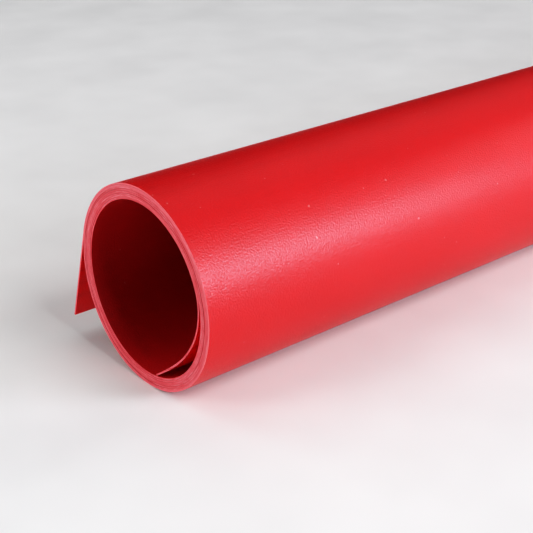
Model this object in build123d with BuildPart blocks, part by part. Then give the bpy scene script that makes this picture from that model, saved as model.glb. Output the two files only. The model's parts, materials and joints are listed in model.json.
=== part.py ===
from build123d import *
import os
from math import cos, sin, tan, radians

# A coreless roll of one matte PVC backdrop sheet, lying on the floor.
# The roll axis is parallel to X. Y and Z are the plane of the cut ends, +Z is up.
# Angles in that plane are in degrees from +Y towards +Z. The origin is on the floor,
# at the middle of the roll's box.
#
# The real sheet is one piece. It is cut here where it bends or slides, into
#   wound_turn_1 (innermost) to wound_turn_7, which also holds the start of the outer lap,
#   unroll_strip_01 to _12, the last quarter turn of the outer lap, which opens flat,
#   tail_strip_1 to _6, the loose straight tail at the outer end,
#   inner_end_strip_01 to _10, the inner end, which springs off the wall of the bore.

# Sheet and roll, in millimetres
sheet_thickness = 0.5
layer_gap = 0.04                # air between two layers
roll_radius = 28.5              # outer face of the outer lap
roll_length = 680.0
turn_count = 7                  # full turns under the outer lap

# Where the sheet starts and leaves the roll
inner_seam_angle = 160.0        # the inner end leaves the wall of the bore here
tail_angle = 16.0               # the tail leaves the roll here, straight

# How the moving stretches are divided
seam_gap = 0.06                 # clearance between two neighbouring stretches
unroll_strips = 12
unroll_angle = 90.0             # share of the outer lap that opens flat
tail_strips = 6
tail_strip_angle = 9.45         # bend of one tail hinge when the tail lies on the roll
inner_strips = 10
inner_end_length = 1.4 * roll_radius
inner_end_turn = 74.4           # turn of the inner end; its bend fades to none at the tip

pitch = sheet_thickness + layer_gap
half = sheet_thickness / 2

# The spiral is a chain of half circles, each pitch / 2 larger in radius than the last.
# Their centres lie pitch / 4 either side of the roll axis, on the line of the inner seam.
lap_radius = roll_radius - half
first_radius = lap_radius - turn_count * pitch
last_turn_radius = lap_radius - pitch / 2
seam = radians(inner_seam_angle)
tail = radians(tail_angle)

# A flat tail strip touches the circle of the lap at its middle when the tail is wrapped.
tail_strip_length = 2 * lap_radius * tan(radians(tail_strip_angle / 2))
tail_length = (tail_strips + 0.5) * tail_strip_length

# The roll axis: the last full turn rests on the floor, and the box is centred on Y.
odd_centre = (-pitch / 4 * cos(seam), -pitch / 4 * sin(seam))
even_centre = (pitch / 4 * cos(seam), pitch / 4 * sin(seam))
tail_reach = odd_centre[0] + roll_radius * cos(tail) + tail_length * sin(tail)
back_reach = -even_centre[0] + last_turn_radius + half
axis_y = (back_reach - tail_reach) / 2
axis_z = last_turn_radius + half - even_centre[1]


def follow(point, heading, length, turn):
    """Follow the sheet's mid-line over one stretch of even bend; turn is in degrees."""
    chord = length
    if turn:
        chord = length * sin(radians(turn / 2)) / radians(turn / 2)
    angle = radians(heading + turn / 2)
    return (point[0] + chord * cos(angle), point[1] + chord * sin(angle)), heading + turn


def draw_face(point, heading, stretches, side):
    """Draw the face that lies half a thickness to the left (side 1) or right (side -1)."""
    normal = radians(heading + 90)
    at = Vector(point[0] + side * half * cos(normal), point[1] + side * half * sin(normal))
    first = at
    for length, turn in stretches:
        direction = Vector(cos(radians(heading)), sin(radians(heading)))
        if turn:
            toward_centre = half if turn * side > 0 else -half
            face_radius = length / radians(abs(turn)) - toward_centre
            edge = JernArc(start=at, tangent=direction, radius=face_radius, arc_size=turn)
        else:
            edge = Line(at, at + direction * length)
        at = edge @ 1
        heading += turn
    return first, at


def trimmed(stretches):
    """Take half the seam gap off both ends of a piece."""
    trim = seam_gap / 2
    result = list(stretches)
    for end in (0, -1):
        length, turn = result[end]
        result[end] = (length - trim, turn * (length - trim) / length)
    return result


def sheet_piece(name, point, heading, stretches):
    """Make and save one piece of sheet; give back where its mid-line ends."""
    first_length, first_turn = stretches[0]
    trim = seam_gap / 2
    start, start_heading = follow(point, heading, trim, first_turn * trim / first_length)
    with BuildPart() as piece:
        with BuildSketch(Plane.YZ.offset(-roll_length / 2)):
            with BuildLine():
                left = draw_face(start, start_heading, trimmed(stretches), 1)
                right = draw_face(start, start_heading, trimmed(stretches), -1)
                Line(left[0], right[0])
                Line(left[1], right[1])
            make_face()
        extrude(amount=roll_length)
    piece.part.label = name
    export_step(piece.part, f"parts/{name}.step")
    for length, turn in stretches:
        point, heading = follow(point, heading, length, turn)
    return point, heading


def half_circle(number):
    """Length and turn of a half circle of the spiral; number 0 is the innermost."""
    radius = first_radius + number * pitch / 2
    return radius * radians(180), -180.0


def lap_arc(angle):
    """Length and turn of an arc of the outer lap."""
    return lap_radius * radians(angle), -angle


os.makedirs("parts", exist_ok=True)

# The wound turns, from the inner seam outwards. The sheet winds towards falling angles.
inner_seam = (axis_y + odd_centre[0] + first_radius * cos(seam),
              axis_z + odd_centre[1] + first_radius * sin(seam))
point, heading = inner_seam, inner_seam_angle - 90
for turn_number in range(1, turn_count + 1):
    stretches = [half_circle(2 * turn_number - 2), half_circle(2 * turn_number - 1)]
    if turn_number == turn_count:
        stretches.append(lap_arc(inner_seam_angle - tail_angle - unroll_angle))
    point, heading = sheet_piece(f"wound_turn_{turn_number}", point, heading, stretches)

# The part of the outer lap that opens flat. Its last strip carries half a tail strip.
unroll_hinges = []
for strip in range(1, unroll_strips + 1):
    unroll_hinges.append(point)
    stretches = [lap_arc(unroll_angle / unroll_strips)]
    if strip == unroll_strips:
        stretches.append((tail_strip_length / 2, 0.0))
    point, heading = sheet_piece(f"unroll_strip_{strip:02d}", point, heading, stretches)

# The straight loose tail.
tail_hinges = []
for strip in range(1, tail_strips + 1):
    tail_hinges.append(point)
    stretches = [(tail_strip_length, 0.0)]
    point, heading = sheet_piece(f"tail_strip_{strip}", point, heading, stretches)

# The inner end, from the inner seam the other way round. Its bend falls evenly to zero.
inner_hinges = []
inner_strip_length = inner_end_length / inner_strips
point, heading = inner_seam, inner_seam_angle + 90
for strip in range(1, inner_strips + 1):
    inner_hinges.append(point)
    bend_left = (inner_strips - strip + 0.5) / inner_strips
    stretches = [(inner_strip_length, 2 * inner_end_turn / inner_strips * bend_left)]
    point, heading = sheet_piece(f"inner_end_strip_{strip:02d}", point, heading, stretches)
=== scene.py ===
# Looks of the rolled PVC backdrop sheet. The sheet's path is read back from the frame's
# hinges and the sheet is rebuilt along it as thin closed pieces; some ride on one body each,
# the others stay where they are built. Lengths are in metres, angles in radians unless named so.
import json
from math import atan2, ceil, cos, pi, radians, sin, sqrt

import bpy
import numpy as np
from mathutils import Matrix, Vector


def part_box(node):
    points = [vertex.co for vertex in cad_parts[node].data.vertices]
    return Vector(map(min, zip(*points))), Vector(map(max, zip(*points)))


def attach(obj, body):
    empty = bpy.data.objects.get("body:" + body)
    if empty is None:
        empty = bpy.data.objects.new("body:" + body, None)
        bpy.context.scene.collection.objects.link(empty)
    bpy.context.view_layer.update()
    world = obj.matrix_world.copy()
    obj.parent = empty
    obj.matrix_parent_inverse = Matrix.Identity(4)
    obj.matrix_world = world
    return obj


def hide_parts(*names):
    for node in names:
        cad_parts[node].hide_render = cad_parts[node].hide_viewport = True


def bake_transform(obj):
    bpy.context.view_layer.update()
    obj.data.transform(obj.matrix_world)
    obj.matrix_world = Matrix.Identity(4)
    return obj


MM = 0.001

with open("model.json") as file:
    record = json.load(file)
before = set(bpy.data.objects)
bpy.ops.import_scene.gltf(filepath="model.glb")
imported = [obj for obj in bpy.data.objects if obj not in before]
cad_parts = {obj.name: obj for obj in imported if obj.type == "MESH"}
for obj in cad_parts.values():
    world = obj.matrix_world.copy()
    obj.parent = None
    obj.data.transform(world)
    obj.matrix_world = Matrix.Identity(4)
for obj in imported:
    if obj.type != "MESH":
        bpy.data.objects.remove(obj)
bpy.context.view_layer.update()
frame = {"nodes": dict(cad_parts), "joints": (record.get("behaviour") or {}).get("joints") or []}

# ---------------------------------------------------------------- the sheet, from the frame
SHEET = 0.517 * MM              # thickness, so that the turns all but touch
CORNER = 0.02 * MM              # bevel of the cut edges
joints = {joint["name"]: joint for joint in frame["joints"]}
TURNS = sum(node.startswith("wound_turn") for node in frame["nodes"])
UNROLL = sum(node.startswith("unroll_strip") for node in frame["nodes"])
TAIL = sum(node.startswith("tail_strip") for node in frame["nodes"])
INNER = sum(node.startswith("inner_end_strip") for node in frame["nodes"])
ROOT = f"wound_turn_{TURNS}"


def pivot(name):
    """A hinge's (y, z)."""
    return np.array(joints[name]["pos_m"][1:])


def circle_centre(a, b, c):
    """Centre of the circle through three points."""
    rows = 2 * np.array([b - a, c - a])
    sides = np.array([b @ b - a @ a, c @ c - a @ a])
    return np.linalg.solve(rows, sides)


def angle_of(vector):
    """Direction of a (y, z) vector, from +y towards +z."""
    return atan2(vector[1], vector[0])


lap_centre = circle_centre(pivot("unroll_01"), pivot("unroll_07"), pivot("unroll_12"))
inner_seam = pivot("inner_end_01")
lap_radius = np.linalg.norm(pivot("unroll_01") - lap_centre)
first_radius = np.linalg.norm(inner_seam - lap_centre)
pitch = (lap_radius - first_radius) / TURNS
layer_gap = pitch - SHEET
seam_angle = angle_of(inner_seam - lap_centre)
roll_radius = lap_radius + SHEET / 2
# each turn is two half circles, whose centres lie pitch / 4 either side of the roll's axis
axis = lap_centre + pitch / 4 * np.array([cos(seam_angle), sin(seam_angle)])
near_x, far_x = (corner.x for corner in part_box(ROOT))

unroll_start_angle = angle_of(pivot("unroll_01") - lap_centre)
unroll_step = unroll_start_angle - angle_of(pivot("unroll_02") - lap_centre)
UNROLL_LENGTH = lap_radius * unroll_step
TAIL_LENGTH = np.linalg.norm(pivot("tail_curl_2") - pivot("tail_curl_1"))


class SheetLine:
    """The sheet's mid-line in the (y, z) plane, as stretches (length, bend per metre)."""

    def __init__(self, first_s, point, heading, stretches):
        self.s, self.points, self.headings, self.bends = [first_s], [point], [heading], []
        for length, bend in stretches:
            self.bends.append(bend)
            point, heading = self.step(point, heading, bend, length)
            self.s.append(self.s[-1] + length)
            self.points.append(point)
            self.headings.append(heading)

    @staticmethod
    def step(point, heading, bend, length):
        """Move along an arc of even bend; it works on single values and on arrays."""
        half_turn = bend * length / 2
        chord = length * np.sinc(half_turn / pi)
        direction = heading + half_turn
        move = np.stack([np.cos(direction), np.sin(direction)], -1) * np.expand_dims(chord, -1)
        return point + move, heading + 2 * half_turn

    def at(self, s):
        """Points and headings at the distances s."""
        s = np.asarray(s, float)
        number = np.clip(np.searchsorted(self.s, s, side="right") - 1, 0, len(self.bends) - 1)
        point = np.array(self.points)[number]
        heading = np.array(self.headings)[number]
        bend = np.array(self.bends)[number]
        return self.step(point, heading, bend, s - np.array(self.s)[number])


def inner_end_stretches():
    """Strip length and stretches of the inner end, from the seam to its tip.

    Each strip's arc is found from its two hinges. The last has only one, so its turn goes on
    changing as the turns before it do.
    """
    heading = seam_angle + pi / 2
    hinges = [pivot(f"inner_end_{number:02d}") for number in range(1, INNER + 1)]
    turns = []
    for here, following in zip(hinges, hinges[1:]):
        chord = following - here
        turn = 2 * ((angle_of(chord) - heading + pi) % (2 * pi) - pi)
        length = np.linalg.norm(chord) / np.sinc(turn / 2 / pi)
        turns.append(turn)
        heading += turn
    turns.append(2 * turns[-1] - turns[-2])
    return length, [(length, turn / length) for turn in turns]


# s is the distance along the sheet from the inner seam: negative on the inner end,
# positive on the turns, the lap and the tail. Travelling that way, outwards is to the left.
INNER_LENGTH, inner_stretches = inner_end_stretches()
half_radii = [first_radius + number * pitch / 2 for number in range(2 * TURNS)]
turn_stretches = [(pi * radius, -1 / radius) for radius in half_radii]
lap_angle = seam_angle - unroll_start_angle + UNROLL * unroll_step
lap_stretch = (lap_radius * lap_angle, -1 / lap_radius)
tail_stretch = ((TAIL + 0.5) * TAIL_LENGTH, 0.0)

to_tip = SheetLine(0.0, inner_seam, seam_angle + pi / 2, inner_stretches)
stretches = [(length, -bend) for length, bend in reversed(inner_stretches)]
stretches += turn_stretches + [lap_stretch, tail_stretch]
sheet = SheetLine(-INNER * INNER_LENGTH, to_tip.points[-1], to_tip.headings[-1] + pi, stretches)
turn_s = [sheet.s[INNER + 2 * number] for number in range(TURNS + 1)]
unroll_s = turn_s[-1] + lap_radius * (seam_angle - unroll_start_angle)
tail_s = unroll_s + UNROLL * UNROLL_LENGTH + TAIL_LENGTH / 2


# ---------------------------------------------------------------- how the layers really lie
def bump(angle, middle, reach):
    """1 at the middle angle, falling smoothly to 0 at reach either side."""
    away = np.abs((angle - middle + pi) % (2 * pi) - pi) / reach
    return np.where(away < 1, np.cos(np.minimum(away, 1) * pi / 2) ** 2, 0.0)


LOOSE_PLACES = (                # (layer gap counted from the bore, middle, reach, looseness)
    (4, radians(-92), radians(62), 4.0),
    (2, radians(-60), radians(40), 2.0),
    (7, radians(42), radians(40), 6.0),
    (5, radians(60), radians(38), 4.0),
    (3, radians(75), radians(45), 2.0),
)
LAP_ENDS = radians(20)          # where the outermost lap leaves the roll as the tail
TIP_STRIPS = 2                  # strips of the inner end that ease inwards to its tip
TIP_CLEARANCE = 0.03 * MM       # how far inwards the tip lies, so that it clears the wall
WANDER = (                      # (reach along the roll, length along the sheet, phase)
    (0.06 * MM, 0.11, 1.3),
    (0.02 * MM, 0.019, 0.4),
)


def layer_shift(s):
    """How far a layer lies outside its even place: the air between layers gathers in places.

    On the inner end only the tip is shifted, a hair inwards.
    """
    wound = (s > 0) & (s < unroll_s)
    turned = np.where(wound, sheet.headings[INNER] - sheet.at(s)[1], 0.0)
    layer = np.floor(turned / (2 * pi))
    angle = seam_angle - turned
    share = {gap: np.ones_like(angle) for gap in range(1, TURNS + 1)}
    for gap, middle, reach, looseness in LOOSE_PLACES:
        share[gap] += looseness * bump(angle, middle, reach)
    has_lap = (angle % (2 * pi) > LAP_ENDS) & (angle % (2 * pi) < seam_angle)
    gaps_here = np.where(has_lap, TURNS, TURNS - 1)
    total = sum(np.where(gap <= gaps_here, share[gap], 0.0) for gap in share)
    below = sum(np.where(gap <= layer, share[gap], 0.0) for gap in share)
    shift = layer_gap * (gaps_here * below / total - layer)
    tip = np.clip(-s / INNER_LENGTH - (INNER - TIP_STRIPS), 0, TIP_STRIPS) / TIP_STRIPS
    return np.where(wound & (layer > 0), shift, 0.0) - TIP_CLEARANCE * tip ** 2


def edge_wander(s):
    """Shift of the sheet along the roll axis: it was not rolled up quite square."""
    return sum(reach * np.sin(s / length + phase) for reach, length, phase in WANDER)


# ---------------------------------------------------------------- mesh of one piece of sheet
def cross_profile():
    """Loop of (x, height, x normal, height normal) round the sheet's section along the roll."""
    near, far = near_x + CORNER, far_x - CORNER
    high, low = SHEET / 2, SHEET / 2 - CORNER
    return np.array([
        (near, high, 0, 1), (far, high, 0, 1), (far_x, low, 1, 0), (far_x, -low, 1, 0),
        (far, -high, 0, -1), (near, -high, 0, -1), (near_x, -low, -1, 0), (near_x, low, -1, 0),
    ])


def sheet_piece(name, s_from, s_to, column_step):
    """A thin closed solid along the sheet from s_from to s_to, with columns about a step apart."""
    columns = max(2, ceil((s_to - s_from) / column_step) + 1)
    s = np.linspace(s_from, s_to, columns)
    loop = cross_profile()
    around = len(loop)
    points, headings = sheet.at(s)
    outward = np.stack([-np.sin(headings), np.cos(headings)], -1)
    points = points + outward * layer_shift(s)[:, None]
    corners = np.zeros((columns, around, 3))
    corners[:, :, 0] = loop[:, 0] + edge_wander(s)[:, None]
    corners[:, :, 1:] = points[:, None] + outward[:, None] * loop[None, :, 1, None]
    normals = np.zeros((columns, around, 3))
    normals[:, :, 0] = loop[:, 2]
    normals[:, :, 1:] = outward[:, None] * loop[None, :, 3, None]

    here, following = np.arange(around), (np.arange(around) + 1) % around
    first = np.arange(columns - 1)[:, None] * around
    second = first + around
    quads = np.stack([first + here, first + following, second + following, second + here], -1)
    quads = quads.reshape(-1, 4)
    end_cap = list((columns - 1) * around + here)
    start_cap = list(here[::-1])
    faces = quads.tolist() + [end_cap, start_cap]
    mesh = bpy.data.meshes.new(name)
    mesh.from_pydata(corners.reshape(-1, 3).tolist(), [], faces)

    # a quad is face material where both its loop ends have a face's normal, else cut edge
    is_face = (loop[:, 3] != 0) & (loop[following, 3] == loop[:, 3])
    slots = np.concatenate([np.tile(~is_face, columns - 1), [True, True]]).astype(np.int32)
    mesh.materials.append(face_material)
    mesh.materials.append(edge_material)
    mesh.polygons.foreach_set("material_index", slots)

    # the caps' corners come last, the end cap's before the start cap's
    corner_vertex = np.concatenate([quads.reshape(-1), end_cap, start_cap])
    corner_normals = normals.reshape(-1, 3)[corner_vertex]
    corner_normals[-2 * around:-around] = [0, cos(headings[-1]), sin(headings[-1])]
    corner_normals[-around:] = [0, -cos(headings[0]), -sin(headings[0])]
    mesh.polygons.foreach_set("use_smooth", np.ones(len(faces), bool))
    mesh.normals_split_custom_set(corner_normals.tolist())

    # texture place: along the sheet, and on a face along the roll or on an edge through the
    # sheet; a cap runs along the roll and through the sheet
    along = np.repeat(s, around)[corner_vertex]
    across = np.tile(loop[:, 0], columns)[corner_vertex]
    through = np.tile(loop[:, 1], columns)[corner_vertex]
    corner_slot = np.concatenate([np.repeat(slots[:-2], 4), np.ones(2 * around, int)])
    uv = np.stack([along, np.where(corner_slot == 0, across, through)], -1)
    uv[-2 * around:, 0] = across[-2 * around:]
    mesh.uv_layers.new(name="sheet").data.foreach_set("uv", uv.reshape(-1))
    mesh.update()
    piece = bpy.data.objects.new(name, mesh)
    bpy.context.scene.collection.objects.link(piece)
    return piece


# ---------------------------------------------------------------- materials
# Colours are linear, and texture scales are per metre of sheet or floor.
FACE_REDS = ((0.545, 0.0078, 0.0100), (0.580, 0.0088, 0.0113))
DUST = (0.80, 0.42, 0.42)
EDGE_STREAKS = ((0.77, 0.075, 0.105), (0.96, 0.34, 0.39))
EDGE_INNER = (0.80, 0.065, 0.085)       # towards the inner face of each layer
EDGE_PATCHES = (0.74, 0.055, 0.075)     # in slow patches along the sheet
EDGE_OUTERMOST_PAINTED_HIGHLIGHT = (0.95, 0.21, 0.25)     # painted highlight on the edge of the last turn and the tail
FLOOR_GREYS = ((0.775, 0.775, 0.775), (0.850, 0.850, 0.850))
MOTTLE_SCALE, DUST_SCALE, GRAIN_SCALE = 45.0, 700.0, 2000.0
STREAK_SCALE, PATCH_SCALE, CLOUD_SCALE = 2600.0, 55.0, 22.0
GRAIN_DEPTH, STREAK_DEPTH = 0.08 * MM, 0.05 * MM
NOISE_RANGE = (0.3, 0.7)                # where nearly all of a noise texture's values lie


def new_material(name):
    """A material, its node tree and its shader node."""
    material = bpy.data.materials.new(name)
    material.use_nodes = True
    tree = material.node_tree
    return material, tree, tree.nodes["Principled BSDF"]


def add(tree, kind, **settings):
    """Add a node; settings are properties, or inputs when the name starts with a capital."""
    node = tree.nodes.new(kind)
    for key, value in settings.items():
        if key[0].isupper():
            node.inputs[key.replace("_", " ")].default_value = value
        else:
            setattr(node, key, value)
    return node


def sheet_place(tree, along, across):
    """Texture place on the sheet, scaled along it and along the roll."""
    uv = add(tree, "ShaderNodeUVMap", uv_map="sheet")
    scale = add(tree, "ShaderNodeVectorMath", operation="MULTIPLY")
    scale.inputs[1].default_value = (along, across, 1.0)
    tree.links.new(uv.outputs["UV"], scale.inputs[0])
    return scale.outputs["Vector"]


def axes_of(tree, place):
    """The first two sockets of a texture place: along the sheet, and across or through it."""
    split = add(tree, "ShaderNodeSeparateXYZ")
    tree.links.new(place, split.inputs["Vector"])
    return split.outputs["X"], split.outputs["Y"]


def noise(tree, place, scale, detail=2.0):
    """A noise texture's value."""
    node = add(tree, "ShaderNodeTexNoise", Scale=scale, Detail=detail)
    tree.links.new(place, node.inputs["Vector"])
    return node.outputs["Fac"]


def ramp(tree, value, low, high, out_low=0.0, out_high=1.0):
    """Map value from low..high to out_low..out_high, and no further."""
    node = add(tree, "ShaderNodeMapRange", clamp=True,
               From_Min=low, From_Max=high, To_Min=out_low, To_Max=out_high)
    tree.links.new(value, node.inputs["Value"])
    return node.outputs["Result"]


def mix_colour(tree, factor, first, second):
    """Mix two colours; each is a tuple or a socket."""
    node = add(tree, "ShaderNodeMix", data_type="RGBA")
    for socket, value in (("Factor", factor), ("A", first), ("B", second)):
        kind = "NodeSocketFloatFactor" if socket == "Factor" else "NodeSocketColor"
        target = next(i for i in node.inputs if i.name == socket and i.bl_idname == kind)
        if isinstance(value, tuple):
            target.default_value = (*value, 1.0)
        else:
            tree.links.new(value, target)
    return next(o for o in node.outputs if o.bl_idname == "NodeSocketColor")


def bump_normal(tree, heights, distance, strength):
    """Normal from a height socket."""
    node = add(tree, "ShaderNodeBump", Strength=strength, Distance=distance)
    tree.links.new(heights, node.inputs["Height"])
    return node.outputs["Normal"]


def where_single(tree, place, wound, inner, tail):
    """A value that grows from the wound turns to where the sheet is single: inner end and tail."""
    along, _ = axes_of(tree, place)
    most = add(tree, "ShaderNodeMath", operation="MAXIMUM")
    tree.links.new(ramp(tree, along, 0.0, -10 * MM, wound, inner), most.inputs[0])
    tree.links.new(ramp(tree, along, unroll_s, tail_s, wound, tail), most.inputs[1])
    return most.outputs["Value"]


def pvc_face():
    """Matte PVC: a fine frosted grain, a few pale specks, light let through where it is single."""
    material, tree, shader = new_material("pvc_face")
    place = sheet_place(tree, 1.0, 1.0)
    mottle = noise(tree, place, MOTTLE_SCALE, 3.0)
    red = mix_colour(tree, ramp(tree, mottle, *NOISE_RANGE), *FACE_REDS)
    dust = ramp(tree, noise(tree, place, DUST_SCALE, 0.0), 0.84, 0.88, 0.0, 0.3)
    tree.links.new(mix_colour(tree, dust, red, DUST), shader.inputs["Base Color"])
    grain = noise(tree, place, GRAIN_SCALE, 0.0)
    tree.links.new(ramp(tree, grain, *NOISE_RANGE, 0.37, 0.47), shader.inputs["Roughness"])
    tree.links.new(bump_normal(tree, grain, GRAIN_DEPTH, 1.0), shader.inputs["Normal"])
    shader.inputs["Specular IOR Level"].default_value = 0.5
    shader.inputs["Specular Tint"].default_value = (0.95, 1.0, 1.12, 1.0)
    tree.links.new(where_single(tree, place, 0.25, 1.0, 1.0), shader.inputs["Subsurface Weight"])
    reach = where_single(tree, place, 1.5 * MM, 5 * MM, 2.8 * MM)
    tree.links.new(reach, shader.inputs["Subsurface Scale"])
    shader.inputs["Subsurface Radius"].default_value = (1.0, 0.06, 0.06)
    return material


def pvc_edge():
    """The knife-cut edge: paler and rougher, streaked, palest at the outer face of each layer,
    with a painted highlight on its last turn and tail.
    """
    material, tree, shader = new_material("pvc_cut_edge")
    streaks = noise(tree, sheet_place(tree, 0.15, 1.0), STREAK_SCALE)
    patches = noise(tree, sheet_place(tree, 1.0, 0.0), PATCH_SCALE, 3.0)
    along, through = axes_of(tree, sheet_place(tree, 1.0, 1.0))
    colour = mix_colour(tree, ramp(tree, streaks, *NOISE_RANGE), *EDGE_STREAKS)
    inner_side = ramp(tree, through, -0.3 * MM, 0.2 * MM, 1.0, 0.0)
    colour = mix_colour(tree, inner_side, colour, EDGE_INNER)
    colour = mix_colour(tree, ramp(tree, patches, 0.42, 0.58, 0.0, 0.7), colour, EDGE_PATCHES)
    # painted highlight: the edge of the last turn and the tail is made paler, for the key light it
    # catches
    outermost_painted_highlight = ramp(tree, along, turn_s[-2] - 10 * MM, turn_s[-2] + 10 * MM, 0.0, 0.6)
    colour = mix_colour(tree, outermost_painted_highlight, colour, EDGE_OUTERMOST_PAINTED_HIGHLIGHT)
    tree.links.new(colour, shader.inputs["Base Color"])
    tree.links.new(bump_normal(tree, streaks, STREAK_DEPTH, 0.5), shader.inputs["Normal"])
    shader.inputs["Roughness"].default_value = 0.6
    return material


def floor_paper():
    """Pale seamless floor with faint clouds."""
    material, tree, shader = new_material("pale_floor")
    clouds = noise(tree, add(tree, "ShaderNodeTexCoord").outputs["Object"], CLOUD_SCALE)
    colour = mix_colour(tree, ramp(tree, clouds, *NOISE_RANGE), *FLOOR_GREYS)
    tree.links.new(colour, shader.inputs["Base Color"])
    shader.inputs["Roughness"].default_value = 0.7
    shader.inputs["Specular IOR Level"].default_value = 0.2
    return material


face_material = pvc_face()
edge_material = pvc_edge()


# ---------------------------------------------------------------- pieces of the object
TURN_STEP = 0.75 * MM           # column spacing on the wound turns
BEND_STEP = 0.45 * MM           # and on the pieces round the hinges
EVEN = 1 + sqrt(3)              # span of a blend, in strip lengths, that bends a strip evenly
TIE = 0.5 - 0.5 / EVEN          # share of that span that lies before a piece begins


def wound_turns():
    """Each inner turn is a rigid upper half, and a lower half that reaches to the next turn."""
    for number in range(1, TURNS):
        turn, next_turn = f"wound_turn_{number}", f"wound_turn_{number + 1}"
        start, end = turn_s[number - 1], turn_s[number]
        middle = sheet.s[INNER + 2 * number - 1]
        if number == 1:
            start += EVEN / 2 * INNER_LENGTH    # the inner end's first piece reaches so far
        top = sheet_piece(f"{turn}_top", start, middle, TURN_STEP)
        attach(top, turn)
        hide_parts(turn)
        below = sheet_piece(f"{turn}_bottom", middle, end, TURN_STEP)
        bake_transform(below)
    outer_end = unroll_s - EVEN / 2 * UNROLL_LENGTH     # where the first piece round a hinge begins
    outer = sheet_piece("wound_turn_outer", turn_s[-2], outer_end, TURN_STEP)
    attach(outer, ROOT)
    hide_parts(ROOT)


def bend_piece(name, joint_name, s, length, before, after, span=None, lead=None):
    """The stretch round one hinge at s, from before it to after it; the hinge's child part is
    hidden.

    span and lead are not used. After a hinge means away from the root: towards the tail,
    or towards the tip of the inner end.
    """
    joint = joints[joint_name]
    way = -1 if joint_name.startswith("inner") else 1
    span = EVEN * length if span is None else span
    lead = span / 2 if lead is None else lead
    low, high = sorted((s - way * before, s + way * after))
    piece = sheet_piece(name, low, high, BEND_STEP)
    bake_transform(piece)
    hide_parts(joint["child"])


# the last unrolling strip goes on for half a tail strip, and two pieces share it
HALF_LAST_STRIP = (UNROLL_LENGTH + TAIL_LENGTH / 2) / 2


def unrolling_lap():
    """The last quarter turn of the roll."""
    for number in range(1, UNROLL + 1):
        name, joint_name = f"unroll_bend_{number:02d}", f"unroll_{number:02d}"
        s = unroll_s + (number - 1) * UNROLL_LENGTH
        before = (EVEN if number == 1 else 1) / 2 * UNROLL_LENGTH
        after, span, lead = UNROLL_LENGTH / 2, None, None
        if number == UNROLL:
            after = HALF_LAST_STRIP
            span = (before + after) / (1 - TIE)
            lead = before + TIE * span
        bend_piece(name, joint_name, s, UNROLL_LENGTH, before, after, span, lead)


def loose_tail():
    """The straight loose tail."""
    for number in range(1, TAIL + 1):
        name, joint_name = f"tail_bend_{number}", f"tail_curl_{number}"
        s = tail_s + (number - 1) * TAIL_LENGTH
        before, span, lead = TAIL_LENGTH / 2, None, None
        after = (2 if number == TAIL else 1) / 2 * TAIL_LENGTH
        if number == 1:
            before = lead = HALF_LAST_STRIP
            span = (before + after) / (1 - TIE)
        bend_piece(name, joint_name, s, TAIL_LENGTH, before, after, span, lead)


def inner_end():
    """The sprung inner end, from the wall of the bore to its tip."""
    for number in range(1, INNER + 1):
        name, joint_name = f"inner_end_bend_{number:02d}", f"inner_end_{number:02d}"
        s = -(number - 1) * INNER_LENGTH
        before = (EVEN if number == 1 else 1) / 2 * INNER_LENGTH
        after = (2 if number == INNER else 1) / 2 * INNER_LENGTH
        bend_piece(name, joint_name, s, INNER_LENGTH, before, after)


wound_turns()
unrolling_lap()
loose_tail()
inner_end()


# ---------------------------------------------------------------- floor, light and camera
FLOOR_REACH = 6.0
LIGHTS_AIM = 2.5                # in roll radii, from the near end along the roll
SENSOR_MM, LENS_MM = 36.0, 80.73
CAMERA_PLACE = (-5.4732, -8.2017, 4.8292)       # in roll radii, see from_near_end
CAMERA_AIM = (0.58556, 0.69031, -0.42496)
CONTRAST, CONTRAST_PIVOT = 1.3, 0.55            # of the print's curve, in display values
CURVE_STEPS = 12


def floor():
    """A level square of floor under the roll."""
    r = FLOOR_REACH
    mesh = bpy.data.meshes.new("floor")
    mesh.from_pydata([(-r, -r, 0), (r, -r, 0), (r, r, 0), (-r, r, 0)], [], [(0, 1, 2, 3)])
    mesh.materials.append(floor_paper())
    piece = bpy.data.objects.new("floor", mesh)
    bpy.context.scene.collection.objects.link(piece)


def from_near_end(along, left, up):
    """A place given in roll radii from the near end's centre."""
    centre = Vector((near_x, axis[0], axis[1]))
    return centre + Vector((along, left, up)) * roll_radius


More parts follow.
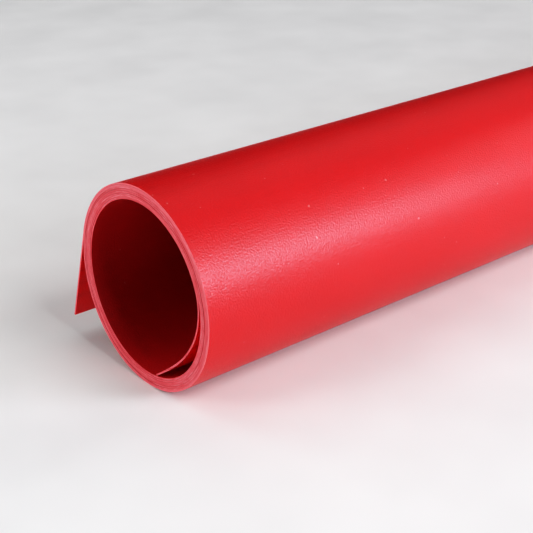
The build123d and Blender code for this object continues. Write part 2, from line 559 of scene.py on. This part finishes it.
def softbox(name, azimuth, elevation, distance, size, watts, colour=(1.0, 1.0, 1.0)):
    """A square light aimed at the near part of the roll; angles in degrees, azimuth from +x."""
    light = bpy.data.lights.new(name, "AREA")
    light.shape = "SQUARE"
    light.size = size
    light.energy = watts
    light.color = colour
    turn, tilt = radians(azimuth), radians(elevation)
    arm = distance * Vector((cos(tilt) * cos(turn), cos(tilt) * sin(turn), sin(tilt)))
    lamp = bpy.data.objects.new(name, light)
    lamp.location = from_near_end(LIGHTS_AIM, 0, 0) + arm
    lamp.rotation_euler = (-arm).to_track_quat("-Z", "Y").to_euler()
    bpy.context.scene.collection.objects.link(lamp)


def lights():
    """A low key from the right that draws the long highlight, soft fills, and a dark room.

    Each has its azimuth, elevation, distance, size and watts.
    """
    softbox("key", -60, 17, 0.85, 0.25, 4.3, (1.0, 1.0, 1.1))
    softbox("front_fill", -87, 42, 0.91, 0.4, 4.2)
    softbox("overhead", 90, 74, 3.0, 2.8, 19.0)
    softbox("back_fill", 120, 26, 1.3, 0.6, 3.5)
    softbox("end_fill", 160, 26, 1.3, 0.6, 5.2)
    softbox("near_fill", -170, 14, 1.3, 0.3, 0.5)
    softbox("side_fill", 20, 45, 0.97, 0.6, 0.5)
    softbox("far_fill", -15, 24, 1.4, 0.4, 2.0)
    world = bpy.data.worlds.new("dark_room")
    world.use_nodes = True
    world.node_tree.nodes["Background"].inputs["Color"].default_value = (0, 0, 0, 1)
    bpy.context.scene.world = world


def to_linear(display):
    """Linear light of an sRGB display value."""
    return display / 12.92 if display <= 0.04045 else ((display + 0.055) / 1.055) ** 2.4


def print_contrast():
    """The contrast of a printed product picture: darks held down, whites rolled off."""
    view = bpy.context.scene.view_settings
    view.view_transform = "Standard"
    view.use_curve_mapping = True
    combined = view.curve_mapping.curves[3]
    pivot_odds = CONTRAST_PIVOT / (1 - CONTRAST_PIVOT)
    for step in range(1, CURVE_STEPS):
        display = step / CURVE_STEPS
        odds = ((1 - display) / display * pivot_odds) ** CONTRAST / pivot_odds
        combined.points.new(to_linear(display), to_linear(1 / (1 + odds)))
    view.curve_mapping.update()


def camera():
    """A long lens, a little above the roll, looking along it from the near end."""
    data = bpy.data.cameras.new("camera")
    data.sensor_width = SENSOR_MM
    data.lens = LENS_MM
    data.clip_start = 10 * MM
    seat = bpy.data.objects.new("camera", data)
    seat.location = from_near_end(*CAMERA_PLACE)
    seat.rotation_euler = Vector(CAMERA_AIM).to_track_quat("-Z", "Y").to_euler()
    bpy.context.scene.collection.objects.link(seat)
    bpy.context.scene.camera = seat


floor()
lights()
camera()
print_contrast()
